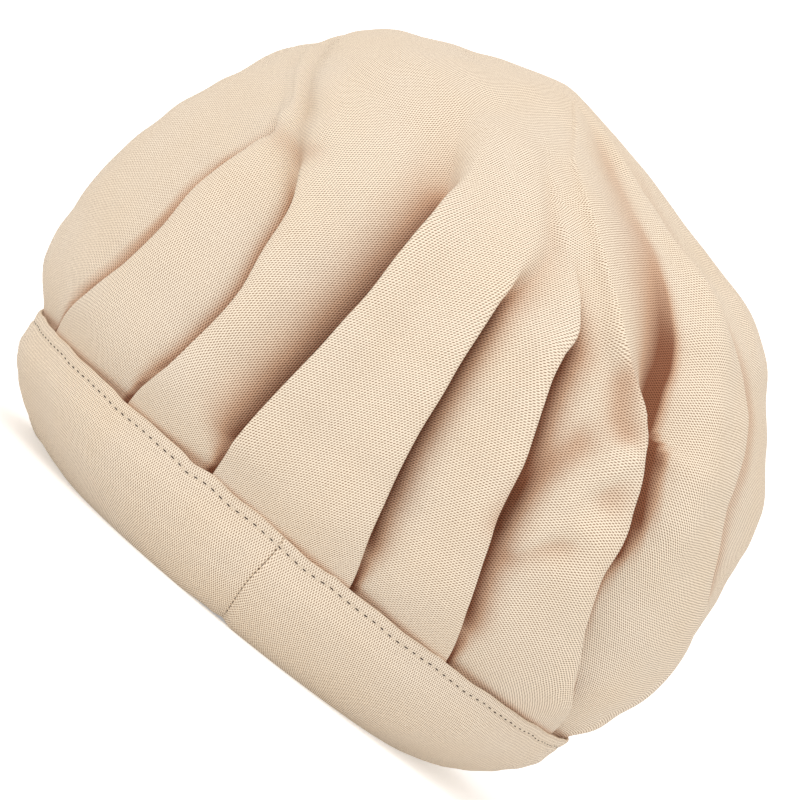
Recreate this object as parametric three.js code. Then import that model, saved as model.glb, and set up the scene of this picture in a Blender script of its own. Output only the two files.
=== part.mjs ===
// A pleated cloth cap: a puffed crown, gathered in twelve pleats onto a sewn headband.
// Millimetres, +Z up, the front towards -Y and +X to the viewer's right. The cap rests on its rim at z = 0.
import * as THREE from 'three';

// Headband
const seamWidth = 190;      // across the outside of the band's top edge, side to side
const seamDepth = 198;      // and front to back
const bandHeight = 30;      // the band's top edge above the rim
const bandWall = 2;         // two layers of cloth
const sideCurl = 30;        // how far the rim turns in under the sides
const frontCurl = 14;       // and under the front and back
const rimFlat = 4;          // width of the flat that the rim rests on
const stripHeight = 2.8;    // the raised strip above the topstitching
const stripProud = 0.5;
const jointAngle = -1.2;    // the band's sewn joint, in degrees from the front
const jointWidth = 1.8;
const jointDepth = 0.7;
const buckleAngle = -112;   // where the rim is pushed out again at the left rear
const buckleSpan = 17;
const buckleOut = 13;

// Crown
const crownWidth = 207;     // at the widest ring
const crownDepth = 213;
const crownRise = 142;      // the peak above the band's top edge
const crownWall = 1;
const peakLeft = 20;        // how far the peak lies left of the middle
const peakLean = 8;         // how late the rings shift towards it
const hemTuck = 6;          // how far the crown reaches down inside the band
const clearance = 0.3;      // between the crown and the band
const pleatDepth = 13;      // a full pleat's step, from its folded edge down to the cloth beside it
const stepWidth = 3;        // the width of that step
const panelPuff = 2.5;      // how far each panel swells between its pleats

// The crown's outline, from the seam to the peak: heights as shares of crownRise, widths of crownWidth.
const crownProfile = [
  { height: 0, width: 0.9 },
  { height: 0.09, width: 0.97 },
  { height: 0.2, width: 1 },
  { height: 0.32, width: 1 },
  { height: 0.43, width: 0.975 },
  { height: 0.54, width: 0.93 },
  { height: 0.66, width: 0.86 },
  { height: 0.75, width: 0.77 },
  { height: 0.83, width: 0.665 },
  { height: 0.885, width: 0.52 },
  { height: 0.93, width: 0.345 },
  { height: 0.97, width: 0.175 },
  { height: 1, width: 0 },
];

// The heights of the pleat table's columns, as shares of crownRise.
const foldHeights = { seam: 0, low: 0.18, mid: 0.43, upper: 0.58, high: 0.68, late: 0.8, top: 0.9 };

// One row for each pleat, from the left rear round the front to the right rear: the side that lies on top
// (1 where the fold points right), its depth as a share of pleatDepth, the heights, as shares of crownRise,
// between which it dies out, and the angle of its folded edge in degrees from the front at each fold height.
const pleats = [
  {
    lap: -1, depth: 0.6, fade: 0.5, end: 0.8,
    seam: -150, low: -147, mid: -145, upper: -145, high: -148, late: -155, top: -172,
  },
  {
    lap: -1, depth: 0.7, fade: 0.5, end: 0.85,
    seam: -122, low: -117, mid: -114, upper: -114, high: -118, late: -130, top: -150,
  },
  {
    lap: -1, depth: 0.6, fade: 0.4, end: 0.75,
    seam: -95, low: -86, mid: -83, upper: -84, high: -93, late: -116, top: -138,
  },
  {
    lap: -1, depth: 0.6, fade: 0.35, end: 0.66,
    seam: -67.3, low: -53, mid: -52, upper: -52.5, high: -65, late: -102, top: -121,
  },
  {
    lap: -1, depth: 0.7, fade: 0.5, end: 0.88,
    seam: -38.4, low: -31.5, mid: -32, upper: -39, high: -50, late: -84, top: -104,
  },
  {
    lap: -1, depth: 1, fade: 0.45, end: 0.88,
    seam: -17.4, low: -15.6, mid: -14.6, upper: -15.7, high: -16.8, late: -20, top: -36,
  },
  {
    lap: 1, depth: 0.7, fade: 0.45, end: 0.86,
    seam: 12.3, low: 6, mid: 3, upper: 2, high: 0, late: -8, top: -24,
  },
  {
    lap: 1, depth: 0.75, fade: 0.45, end: 0.76,
    seam: 34.5, low: 24, mid: 18.6, upper: 15.9, high: 12, late: 1, top: -14,
  },
  {
    lap: 1, depth: 0.9, fade: 0.5, end: 0.95,
    seam: 71.3, low: 50, mid: 40, upper: 31.5, high: 22.8, late: 14, top: 3,
  },
  {
    lap: 1, depth: 0.45, fade: 0.7, end: 0.95,
    seam: 100, low: 90, mid: 73, upper: 66, high: 67, late: 61, top: 44,
  },
  {
    lap: 1, depth: 0.7, fade: 0.5, end: 0.85,
    seam: 126, low: 118, mid: 110, upper: 106, high: 107, late: 106, top: 100,
  },
  {
    lap: 1, depth: 0.6, fade: 0.5, end: 0.8,
    seam: 152, low: 147, mid: 142, upper: 140, high: 140, late: 141, top: 142,
  },
];

// One row for each large dent or swelling of the crown: its angle in degrees and its height as a share of
// crownRise, how far it reaches sideways and up as shares of crownWidth, and how far it stands out as a share
// of pleatDepth.
const dents = [
  { name: 'right shoulder', angle: 84, height: 0.86, wide: 0.12, tall: 0.06, out: 0.3 },
  { name: 'swell right of the long ridge', angle: 54, height: 0.62, wide: 0.07, tall: 0.14, out: 0.2 },
  { name: 'dimple under the long ridge', angle: 30, height: 0.36, wide: 0.035, tall: 0.03, out: -0.25 },
  { name: 'dip left of the long ridge', angle: 29, height: 0.6, wide: 0.035, tall: 0.05, out: -0.15 },
  { name: 'flat left of the middle', angle: -25, height: 0.79, wide: 0.08, tall: 0.06, out: -0.2 },
];

// The band's outer section, from its top edge to the rim: how far down as a share of bandHeight, and how far
// in as a share of the curl there.
const bandSection = [
  { down: 0.25, inward: 0.02 },
  { down: 0.42, inward: 0.08 },
  { down: 0.58, inward: 0.22 },
  { down: 0.72, inward: 0.38 },
  { down: 0.85, inward: 0.6 },
  { down: 0.95, inward: 0.82 },
];

// Resolution
const panelColumns = 8;     // columns of each panel between two pleats
const columnCrowding = 0.1; // above 0, columns lie closer at the folded edges
const crownRows = 17;
const rowCrowding = 1.25;   // above 1, rows lie closer at the seam
const bandColumns = 72;

const pleatEdges = pleats.length;
const profileSteps = 200;   // for measuring along the profile
const valleyShare = 0.62;   // the part of a pleat's step that lies below the round form
const valleyReach = 0.62;   // how far across its panel a valley reaches
const ridgeReach = 0.5;     // and how far across a folded edge lifts its panel
const profileProbe = 0.01;  // how far along the profile its slope is measured
const mitreMost = 1.5;      // how much longer than the wall a corner's offset may be
const grooveFloor = 0.4;    // the part of the joint's width that is its groove's floor
const rimThickening = 1.2;  // how soon, down the band, its inside is raised by a full wall

const radians = (degrees) => (degrees * Math.PI) / 180;
const clamp01 = (x) => Math.min(1, Math.max(0, x));
const smooth = (x) => clamp01(x) ** 2 * (3 - 2 * clamp01(x));
const bump = (x) => Math.exp(-x * x);
const falloff = (distance, reach) => 0.5 + 0.5 * Math.cos(Math.PI * clamp01(distance / reach));
const wrapped = (degrees) => degrees - 360 * Math.round(degrees / 360);

// The direction that an angle from the front points in, seen from above.
const heading = (degrees) => new THREE.Vector3(Math.sin(radians(degrees)), -Math.cos(radians(degrees)), 0);

// A value that passes smoothly through evenly weighted knots given as [place, value] pairs.
function along(knots, place) {
  let i = 0;
  while (i < knots.length - 2 && place > knots[i + 1][0]) i += 1;
  const [p0, v0] = knots[i];
  const [p1, v1] = knots[i + 1];
  const slope = (a, b) => (knots[b][1] - knots[a][1]) / (knots[b][0] - knots[a][0]);
  const here = slope(i, i + 1);
  const start = i > 0 ? slope(i - 1, i + 1) : here;
  const end = i < knots.length - 2 ? slope(i, i + 2) : here;
  const width = p1 - p0;
  const s = clamp01((place - p0) / width);
  const left = v0 + start * width * s;
  const right = v1 - end * width * (1 - s);
  return left + (right - left) * smooth(s);
}

// The angle of a pleat's folded edge at a height, which is a share of crownRise.
function foldAngle(pleat, height) {
  const knots = Object.entries(foldHeights).map(([column, place]) => [place, pleat[column]]);
  return along(knots, height);
}

// How deep a pleat's step is at a height: it opens above the seam and dies out towards the peak.
function foldDepth(pleat, height) {
  const opening = smooth(height / foldHeights.low);
  const closing = 1 - smooth((height - pleat.fade) / (pleat.end - pleat.fade));
  return pleatDepth * pleat.depth * opening * closing;
}

// A place on the round form under the pleats. row runs from 0 at the seam to 1 at the peak, evenly along the
// profile; the profile's foot is drawn in so that it fits inside the band.
function roundForm(row) {
  const level = row * (profileLength.length - 1);
  const i = Math.min(Math.floor(level), profileLength.length - 2);
  const share = (profileLength[i] + (profileLength[i + 1] - profileLength[i]) * (level - i)) / profileSteps;
  return formAt(share);
}

function formAt(share) {
  const steps = crownProfile.length - 1;
  const knots = (column) => crownProfile.map((section, i) => [i / steps, section[column]]);
  const height = along(knots('height'), share);
  const width = along(knots('width'), share);
  const ahead = Math.min(1, share + profileProbe);
  const back = Math.max(0, share - profileProbe);
  const rise = (along(knots('height'), ahead) - along(knots('height'), back)) * crownRise;
  const run = ((along(knots('width'), ahead) - along(knots('width'), back)) * crownWidth) / 2;
  const slope = Math.hypot(rise, run);
  const drawnIn = 1 - smooth(height / foldHeights.low);
  const foot = (full, seam) => {
    const fitted = seam / 2 - bandWall - clearance;
    return drawnIn * ((full * crownProfile[0].width) / 2 - fitted);
  };
  return {
    height,
    z: height * crownRise,
    halfWidth: (width * crownWidth) / 2 - foot(crownWidth, seamWidth),
    halfDepth: (width * crownDepth) / 2 - foot(crownDepth, seamDepth),
    shift: -peakLeft * height ** peakLean,
    outward: rise / slope,
    upward: -run / slope,
  };
}

// Shares of the profile's table that lie at even distances along the profile.
function evenProfile(count) {
  const spots = Array.from({ length: profileSteps + 1 }, (_, i) => formAt(i / profileSteps));
  const lengths = [0];
  for (let i = 1; i < spots.length; i += 1) {
    const leg = Math.hypot(spots[i].z - spots[i - 1].z, spots[i].halfWidth - spots[i - 1].halfWidth);
    lengths.push(lengths[i - 1] + leg);
  }
  return Array.from({ length: count + 1 }, (_, i) => {
    const target = (lengths[lengths.length - 1] * i) / count;
    const j = Math.min(lengths.findIndex((length) => length > target), lengths.length - 1);
    if (j < 1) return profileSteps;
    return j - 1 + (target - lengths[j - 1]) / (lengths[j] - lengths[j - 1]);
  });
}

// How far a panel's cloth lies above the round form at a share of the way across it.
function panelLift(before, after, share, height) {
  const lift = (pleat, distance, onTop) => {
    const depth = foldDepth(pleat, height);
    const part = onTop ? 1 - valleyShare : -valleyShare;
    return part * depth * falloff(distance, onTop ? ridgeReach : valleyReach);
  };
  const swell = panelPuff * Math.sin(Math.PI * share)
    * smooth(height / foldHeights.low) * (1 - smooth(height));
  return lift(before, share, before.lap < 0) + lift(after, 1 - share, after.lap > 0) + swell;
}

function dentLift(angle, height) {
  const reach = (dent) => {
    const across = (radians(wrapped(angle - dent.angle)) * crownWidth) / 2;
    const upwards = (height - dent.height) * crownRise;
    return bump(across / (dent.wide * crownWidth)) * bump(upwards / (dent.tall * crownWidth));
  };
  return dents.reduce((sum, dent) => sum + dent.out * pleatDepth * reach(dent), 0);
}

const profileLength = evenProfile(4 * crownRows);

// The crown's outer surface: one ring of points for each row, its columns following the pleats.
function crownRing(row) {
  const form = roundForm(row);
  const ring = [];
  const place = (angle, lift) => {
    const out = lift + dentLift(angle, form.height) * smooth(form.height / foldHeights.low);
    const way = heading(angle);
    const x = form.shift + (form.halfWidth + out * form.outward) * way.x;
    const y = (form.halfDepth + out * form.outward) * way.y;
    return new THREE.Vector3(x, y, bandHeight + form.z + out * form.upward);
  };
  const radius = Math.max(form.halfWidth, 1);
  const step = ((stepWidth / 2 / radius) * 180) / Math.PI;
  for (let i = 0; i < pleatEdges; i += 1) {
    const before = pleats[i];
    const after = pleats[(i + 1) % pleatEdges];
    const start = foldAngle(before, form.height);
    const end = foldAngle(after, form.height) + (i + 1 === pleatEdges ? 360 : 0);
    const inset = Math.min(step, (end - start) / (panelColumns + 2));
    for (let k = 0; k < panelColumns; k += 1) {
      const even = k / (panelColumns - 1);
      const share = even - (Math.sin(2 * Math.PI * even) / (2 * Math.PI)) * columnCrowding;
      const angle = start + inset + (end - start - 2 * inset) * share;
      ring.push(place(angle, panelLift(before, after, share, form.height)));
    }
  }
  return ring;
}

// The same ring at the seam, carried down inside the band.
function hemRing(down) {
  const seam = crownRing(0);
  const curl = (p) => bandInset(down / bandHeight, Math.atan2(p.x, -p.y));
  return seam.map((p) => {
    const shrink = 1 - curl(p) / Math.hypot(p.x, p.y);
    return new THREE.Vector3(p.x * shrink, p.y * shrink, p.z - down);
  });
}

// How far the band's outside has turned in at a share of its height below the top edge.
function bandInset(down, angle) {
  const knots = [[0, 0], ...bandSection.map((row) => [row.down, row.inward]), [1, 1]];
  return along(knots, down) * rimCurl((angle * 180) / Math.PI);
}

function rimCurl(degrees) {
  const side = Math.sin(radians(degrees)) ** 2;
  const buckle = bump(wrapped(degrees - buckleAngle) / buckleSpan);
  return frontCurl + (sideCurl - frontCurl) * side - buckleOut * buckle;
}

// Offsets a grid of points by a wall's thickness, against its outward normals.
function insideOf(grid, wall) {
  const rows = grid.length;
  const columns = grid[0].length;
  return grid.map((ring, r) => ring.map((point, c) => {
    const right = grid[r][(c + 1) % columns];
    const left = grid[r][(c + columns - 1) % columns];
    const above = grid[Math.min(rows - 1, r + 1)][c];
    const below = grid[Math.max(0, r - 1)][c];
    const rise = above.clone().sub(below).normalize();
    const faceRight = right.clone().sub(point).normalize().cross(rise);
    const faceLeft = point.clone().sub(left).normalize().cross(rise);
    const normal = faceRight.normalize().add(faceLeft.normalize()).normalize();
    const mitre = 1 / Math.max(1 / mitreMost, normal.dot(faceLeft));
    return point.clone().addScaledVector(normal, -wall * mitre);
  }));
}

// A closed body from rings of points: each ring joined to the next, and the last one joined to the first or,
// where the first and last point out and in to a peak, closed by a fan there.
function bodyFromRings(rings, { first, last }) {
  const columns = rings[0].length;
  const points = rings.flat();
  const faces = [];
  const at = (r, c) => r * columns + (c % columns);
  const joined = rings.length - (first ? 1 : 0);
  for (let r = 0; r < joined; r += 1) {
    for (let c = 0; c < columns; c += 1) {
      const next = (r + 1) % rings.length;
      const corners = [at(r, c), at(r, c + 1), at(next, c + 1), at(next, c)];
      const [a, b, d, e] = corners.map((i) => points[i]);
      const turn = a.distanceTo(d) < b.distanceTo(e) ? 0 : 1;
      const corner = (i) => corners[(i + turn) % 4];
      faces.push(corner(0), corner(1), corner(2), corner(0), corner(2), corner(3));
    }
  }
  if (first) {
    points.push(first, last);
    for (let c = 0; c < columns; c += 1) {
      faces.push(points.length - 2, at(0, c + 1), at(0, c));
      faces.push(points.length - 1, at(rings.length - 1, c), at(rings.length - 1, c + 1));
    }
  }
  const geometry = new THREE.BufferGeometry();
  geometry.setAttribute('position', new THREE.Float32BufferAttribute(points.flatMap((p) => p.toArray()), 3));
  geometry.setIndex(faces);
  geometry.computeVertexNormals();
  return geometry;
}

// The crown: its outside from the peak's ring down to the hem, and back up its inside.
function crownGeometry() {
  const rows = Array.from({ length: crownRows }, (_, i) => (i / crownRows) ** rowCrowding);
  const outside = [hemRing(hemTuck), hemRing(hemTuck / 2), ...rows.map(crownRing)];
  const inside = insideOf(outside, crownWall);
  const tip = new THREE.Vector3(-peakLeft, 0, bandHeight + crownRise);
  const under = tip.clone().setZ(tip.z - crownWall);
  return bodyFromRings([...inside.reverse(), ...outside], { first: under, last: tip });
}

// The band: a loop with a raised strip at the top, a groove at its joint and a flat rim.
function bandGeometry() {
  const halfJoint = (jointWidth / seamDepth) * (360 / Math.PI);
  const joint = [-1, -grooveFloor, grooveFloor, 1].map((side) => jointAngle + side * halfJoint);
  const even = Array.from({ length: bandColumns }, (_, i) => (i * 360) / bandColumns - 180);
  const clear = even.filter((angle) => Math.abs(angle - jointAngle) > 2 * halfJoint);
  const angles = [...clear, ...joint].sort((a, b) => a - b);
  const inGroove = (angle) => Math.abs(angle - jointAngle) < ((1 + grooveFloor) / 2) * halfJoint;

  const ringAt = (z, inward) => angles.map((angle) => {
    const way = heading(angle);
    const inset = inward(angle);
    return new THREE.Vector3(way.x * (seamWidth / 2 - inset), way.y * (seamDepth / 2 - inset), z);
  });
  const outer = (down) => (angle) => bandInset(down, radians(angle)) + (inGroove(angle) ? jointDepth : 0);
  const strip = stripHeight / bandHeight;
  const lip = (stripHeight + stripProud) / bandHeight;
  const sections = bandSection.map((row) => ringAt(bandHeight * (1 - row.down), outer(row.down)));
  const outside = [
    ringAt(bandHeight, outer(0)),
    ringAt(bandHeight - stripProud, (angle) => outer(0)(angle) - stripProud),
    ringAt(bandHeight * (1 - strip), (angle) => outer(strip)(angle) - stripProud),
    ringAt(bandHeight * (1 - lip), outer(lip)),
    ...sections,
    ringAt(0, (angle) => rimCurl(angle)),
    ringAt(0, (angle) => rimCurl(angle) + rimFlat),
  ];
  const inside = [1, ...bandSection.map((row) => row.down).reverse(), 0].map((down) => {
    const lift = bandWall * smooth(down * rimThickening);
    return ringAt(bandHeight * (1 - down) + lift, (angle) => bandInset(down, radians(angle)) + bandWall);
  });
  return bodyFromRings([...outside, ...inside].reverse(), {});
}

function cloth(name, geometry, colour) {
  const material = new THREE.MeshStandardMaterial({ color: colour, roughness: 0.9, metalness: 0 });
  const mesh = new THREE.Mesh(geometry, material);
  mesh.name = name;
  return mesh;
}

const cap = new THREE.Group();
cap.add(cloth('crown', crownGeometry(), 0xdcc8ae));
cap.add(cloth('band', bandGeometry(), 0xd9c6ac));

// The origin is under the middle of the cap's box.
const box = new THREE.Box3().setFromObject(cap);
const middle = box.getCenter(new THREE.Vector3());
cap.position.set(-middle.x, -middle.y, 0);
cap.updateMatrixWorld(true);

export default cap;
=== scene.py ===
"""The looks of a pleated cloth cap: a puffed crown of plain weave, gathered in pleats onto a sewn headband.

The shapes are worked out in millimetres, with the front towards -Y, and made in metres.
"""
import math
import bpy
import numpy as np
from mathutils import Matrix, Vector


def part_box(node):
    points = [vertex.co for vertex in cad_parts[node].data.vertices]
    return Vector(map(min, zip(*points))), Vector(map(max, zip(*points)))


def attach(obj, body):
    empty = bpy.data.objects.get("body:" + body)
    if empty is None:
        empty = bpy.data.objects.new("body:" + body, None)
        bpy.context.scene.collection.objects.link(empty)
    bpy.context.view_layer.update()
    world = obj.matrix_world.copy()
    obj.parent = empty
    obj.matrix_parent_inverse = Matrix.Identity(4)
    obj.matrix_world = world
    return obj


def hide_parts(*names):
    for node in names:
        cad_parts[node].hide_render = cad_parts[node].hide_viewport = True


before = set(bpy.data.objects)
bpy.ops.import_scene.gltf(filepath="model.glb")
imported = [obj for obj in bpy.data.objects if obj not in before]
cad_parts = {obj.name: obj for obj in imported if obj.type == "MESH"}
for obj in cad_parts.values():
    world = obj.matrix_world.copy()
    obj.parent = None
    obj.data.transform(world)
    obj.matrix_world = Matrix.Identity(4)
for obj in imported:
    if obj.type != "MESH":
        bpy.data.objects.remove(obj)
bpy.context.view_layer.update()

MM = 0.001
SEED = 7

# The frame's own sizes, in millimetres
BAND_LOW, BAND_HIGH = (np.array(corner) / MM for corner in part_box("band"))
CROWN_HIGH = np.array(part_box("crown")[1]) / MM
STRIP_PROUD = 0.5
MIDDLE = (BAND_LOW + BAND_HIGH)[:2] / 2
SEAM = (BAND_HIGH - BAND_LOW)[:2] / 2 - STRIP_PROUD
BAND_HEIGHT = BAND_HIGH[2]
CROWN_RISE = CROWN_HIGH[2] - BAND_HEIGHT

# Crown, in millimetres
CROWN_HALF = np.array([103.5, 106.5])  # at the widest ring
CLOTH = 0.5
PEAK_LEFT = 20.0  # how far left of the middle the peak lies
PEAK_LEAN = 8  # how late the rings shift towards it
PANEL_PUFF = 2.2  # how far each panel swells between its pleats
SEAM_INSET = 0.4  # between the band's top edge and the crown
HEM = 7.0  # how far the crown reaches down inside the band
GRAIN_ANGLE = 50.0
SLOPE_STEP = 0.01  # for the profile's slope

# Pleats: lengths in millimetres, heights as shares of the rise
SEAM_RISE = 0.1  # where a step has grown to its full depth
SEAM_DEPTH = 2.3  # the step at the seam itself
SEAM_TUCK = 11.0  # how far the cloth goes back under its neighbour at the seam
TUCK_RISE = 0.12  # where that has shrunk to its share of the step
TUCK_SHARE = 0.55
CLOSE_FROM = 0.94  # where the last steps begin to die out, and how soon
CLOSE_SPAN = 0.055
VALLEY_SHARE = 0.62  # the part of a step that lies below the round form, and its reach into the panel
VALLEY_REACH = 0.95
VALLEY_BEND = 1.5
RIDGE_REACH = 0.5
NOSE = 0.9  # the radius of a folded edge, and the most that it is of the step
NOSE_SHARE = 0.16
FOLD_WIDE = 3.5  # a step this wide is still folded under, and one twice as wide lies open
SOFT_LEAST = 2.0
SOFT_MOST = 0.45  # the widest step, of the ring's radius and of the panel
SOFT_PANEL = 0.6
LATE_DROP = 1.35  # how much of an open step's drop comes late
SMALL_RING = 20.0  # below this radius, steps are drawn narrower

# Where the weave's layout is cut: in folds narrower than CUT_WIDE and deeper than CUT_DEPTH
CUT_WIDE = 2.2
CUT_WIDE_SPAN = 1.3
CUT_DEPTH = 2.6
CUT_DEPTH_SPAN = 1.6

# The painted shade kept in the mesh, from 0 to 1, for folds, narrow dents and the seam
SHADE_DEPTH = 9.0  # the step, in millimetres, that has a pleat's full shade
SHADE_GAIN = 1.1
OPEN_HOLD = 0.5  # the share of hold that is left where a step lies open
SEAM_SHADE = 0.9  # beside each pleat at the seam, up to SEAM_SHARE of the rise
SEAM_SHARE = 0.14
SEAM_HOLD = 0.5
SEAM_REACH = 3.0
SEAM_LINE = 0.4  # painted shade all along the seam, and how fast it fades upwards
SEAM_LINE_FADE = 1.5
NARROW = 6.0  # dents narrower than this get painted shade, fully where they are DARK_DENT deep
DARK_DENT = 5.5

# Columns of each fold and panel, and rows from the hem to the peak
FOLD_COLUMNS = 13
PANEL_COLUMNS = 22
BLOCK = FOLD_COLUMNS + PANEL_COLUMNS
CROWDING = 0.35  # how much closer a panel's columns stand near its folds
HEM_ROWS = 5
CROWN_ROWS = 100

# How often and how strongly the weave's layout is eased
EASING_STEPS = 1000
EASING_PULL = 1.6
LAST_STEPS = 300
LAST_PULL = 0.8

# Where the layout goes over to the view from above, as shares of the rise
TOP_FROM = 0.86
TOP_SPAN = 0.06

# The crown's outline from the seam to the peak, as in the part: shares of the rise and the widest ring
CROWN_PROFILE = {
    "height": [0, 0.09, 0.2, 0.32, 0.43, 0.54, 0.66, 0.75, 0.83, 0.885, 0.93, 0.97, 1],
    "width": [0.9, 0.97, 1, 1, 0.975, 0.93, 0.86, 0.77, 0.665, 0.52, 0.345, 0.175, 0],
}

# The heights of each pleat's values
FOLD_HEIGHTS = [0, 0.18, 0.43, 0.54, 0.6, 0.68, 0.8, 0.9]

# What the rear pleats have in common
REAR = dict(crisp=0.2, shade=0.7, open_shade=0.5, hold=(0, 0), reach=8, soft=[3, 3, 4, 6, 8, 10, 12, 12])

# One row for each pleat, from the left rear round the front to the right rear. lap is the side that lies
# on top (1 where the fold points right). crisp is the share of a sharp crest where the step lies open.
# shade says how dark the shade painted on the cloth beside the fold is, and open_shade the share of it
# where the step lies open. It stays so for hold times the step's depth, given at the seam and at the peak,
# and fades out over reach millimetres. At each of the heights, at is the angle of the folded edge in
# degrees, deep is how far the cloth steps down there and soft is how wide that step is, both in millimetres.
PLEATS = [
    dict(REAR, lap=-1, at=[-150, -147, -145, -145, -145, -148, -155, -172], deep=[4, 8, 8, 7, 6, 4, 2, 0]),
    dict(REAR, lap=-1, at=[-122, -117, -114, -114, -114, -118, -130, -150], deep=[4, 9, 9, 8, 7, 5, 3, 0]),
    dict(
        REAR, lap=-1,
        at=[-95, -86, -83, -83, -85, -93, -116, -138],
        deep=[4, 8, 8, 6, 5, 3, 1, 0], soft=[3, 3, 5, 7, 9, 10, 10, 10],
    ),
    dict(
        lap=-1, crisp=0.2, shade=0.6, open_shade=0.3, hold=(1.2, 1.2), reach=4,
        at=[-67.3, -53, -52, -52, -54, -66, -102, -121],
        deep=[4, 8, 7, 4, 1.5, 0, 0, 0], soft=[2, 2, 3, 4, 5, 8, 8, 8],
    ),
    dict(
        lap=-1, crisp=0, shade=0.7, open_shade=0.2, hold=(0.5, 0.5), reach=6,
        at=[-38.4, -31.5, -33.3, -38, -41.7, -50, -80, -104],
        deep=[5, 8, 8, 6.5, 4.5, 3, 0.8, 0], soft=[2, 2, 2.5, 6, 10, 13, 14, 14],
    ),
    dict(
        lap=-1, crisp=0.35, shade=0.85, open_shade=0.25, hold=(0.2, 0.1), reach=20,
        at=[-17.4, -15.6, -14.6, -15.4, -15.9, -16.8, -18.9, -26],
        deep=[7, 13, 16, 15, 13, 9.5, 3.5, 0], soft=[2, 2, 2.5, 2.5, 2.6, 4, 8, 10],
    ),
    dict(
        lap=1, crisp=0.15, shade=0.9, open_shade=0.5, hold=(0.1, 0.1), reach=11,
        at=[12.3, 6.9, 3.2, 2.2, 1.8, 1, -3.5, -13],
        deep=[5, 9, 9, 8, 7, 4.5, 2, 0], soft=[2, 2, 2.5, 3, 4, 6, 9, 10],
    ),
    dict(
        lap=1, crisp=0.3, shade=0.95, open_shade=0.5, hold=(0.4, 0.4), reach=12,
        at=[34.5, 25.3, 19.2, 16.4, 15.7, 15.2, 5, -6],
        deep=[5, 9, 10, 9, 8, 3.5, 0, 0], soft=[2, 2, 2.5, 2.8, 3.2, 4, 6, 6],
    ),
    dict(
        lap=1, crisp=0.5, shade=1.0, open_shade=0.9, hold=(0.35, 1.6), reach=5,
        at=[71.3, 48.9, 40.6, 37.2, 34.2, 25.1, 14.5, 3],
        deep=[6, 12, 14, 13, 12, 11, 6.5, 3], soft=[2, 2, 2.5, 3.2, 6, 18, 28, 26],
    ),
    dict(
        lap=1, crisp=0.5, shade=1.7, open_shade=0.5, hold=(0.4, 6), reach=8,
        at=[100, 90, 73, 67, 66, 67, 61, 44],
        deep=[4, 5, 2.6, 2.2, 2.2, 2.2, 2.2, 1.5], soft=[2, 2, 2.2, 2.2, 2.2, 2.8, 5, 6],
    ),
    dict(REAR, lap=1, at=[126, 118, 110, 107, 106, 107, 106, 100], deep=[4, 9, 9, 8, 7, 5, 3, 1]),
    dict(REAR, lap=1, at=[152, 147, 142, 140, 140, 140, 141, 142], deep=[4, 8, 8, 7, 6, 4, 2, 0]),
]

# One row for each dent or crease of the crown: how wide it is and how far it stands out, in millimetres,
# and the angles in degrees and shares of the rise along it
CREASES = {
    "flat left of the middle": dict(wide=12, out=-2.5, at=[-27, -23], up=[0.82, 0.76]),
    "swell by the long ridge": dict(wide=12, out=4, at=[51, 52, 54], up=[0.8, 0.66, 0.47]),
    "right shoulder": dict(wide=10, out=2.6, at=[84, 98], up=[0.845, 0.84]),
    "swell high on the right": dict(wide=13, out=2.6, at=[90], up=[0.57]),
    "waist on the right": dict(wide=11, out=-2.2, at=[90], up=[0.4]),
    "drawn in low on the right": dict(wide=9, out=-2.8, at=[84, 96], up=[0.1, 0.1]),
    "hollow high on the left": dict(wide=7, out=-2, at=[-84], up=[0.63]),
    "upper spur": dict(wide=3.5, out=1.9, at=[34.5, 32.7, 30.9, 30.4], up=[0.52, 0.485, 0.44, 0.4]),
    "lower spur": dict(wide=4, out=1.3, at=[36, 34, 31.4, 28.6], up=[0.37, 0.36, 0.33, 0.27]),
    "hollow under the lower spur": dict(wide=3.5, out=-1.6, at=[34, 31.5, 29], up=[0.325, 0.29, 0.24]),
    "dip left of the long ridge": dict(wide=4.5, out=-2.2, at=[28, 30.8, 33], up=[0.635, 0.58, 0.56]),
    "valley by the spurs": dict(wide=5, out=-2.2, at=[27.4, 26, 23.7, 23.3], up=[0.5, 0.435, 0.36, 0.29]),
    "hollow between the spurs": dict(wide=5, out=-1.4, at=[35.8], up=[0.45]),
    "crease by the left shoulder": dict(wide=4, out=-1.1, at=[-53, -47.5, -42], up=[0.592, 0.585, 0.59]),
    "lip over that crease": dict(wide=4, out=1.2, at=[-54, -49, -44], up=[0.61, 0.625, 0.642]),
}

# The band's outer section, as in the part: shares of its height and of the curl
BAND_SECTION = {
    "down": [0, 0.25, 0.42, 0.58, 0.72, 0.85, 0.95, 1],
    "inward": [0, 0.02, 0.08, 0.22, 0.38, 0.6, 0.82, 1],
}

# Band, in millimetres and degrees
SIDE_CURL = 30.0  # how far the rim turns in, at the sides and at the front
FRONT_CURL = 14.0
RIM_FLAT = 4.0
BUCKLE_ANGLE = -112.0  # where the rim is pushed out again at the left rear
BUCKLE_SPAN = 17.0
BUCKLE_OUT = 13.0
RIGHT_ANGLE = 80.0  # where the band is drawn in at the right
RIGHT_SPAN = 26.0
RIGHT_DRAW = 2.6
STRIP_HEIGHT = 2.8  # the raised strip above the topstitching
STRIP_RAISED = 0.32
STRIP_SHARE = STRIP_HEIGHT / BAND_HEIGHT
EDGE_ROLL = 0.35  # the radius of the folded top edge
JOINT_ANGLE = -1.2
PUCKERS = 74  # small puckers between the topstitches, round the cap
LAYER_GAP = 1.7  # between the outer and inner layers, and what it gains towards the rim
LOW_GAP = 1.2
INNER_LIFT = 1.6
INNER_DROP = 0.2
BAND_COLUMNS = 520
JOINT_COLUMNS = 60  # about how many of them stand close together by the joint, and how far from it
JOINT_SPAN = 3.0

# The turned-in layer's rows, in millimetres below the top edge, and the rolled edge's, in degrees
TURNED_IN = [3.2, 2.0, 1.0]
ROLL_TURNS = [180, 140, 105, 75, 40]

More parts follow.
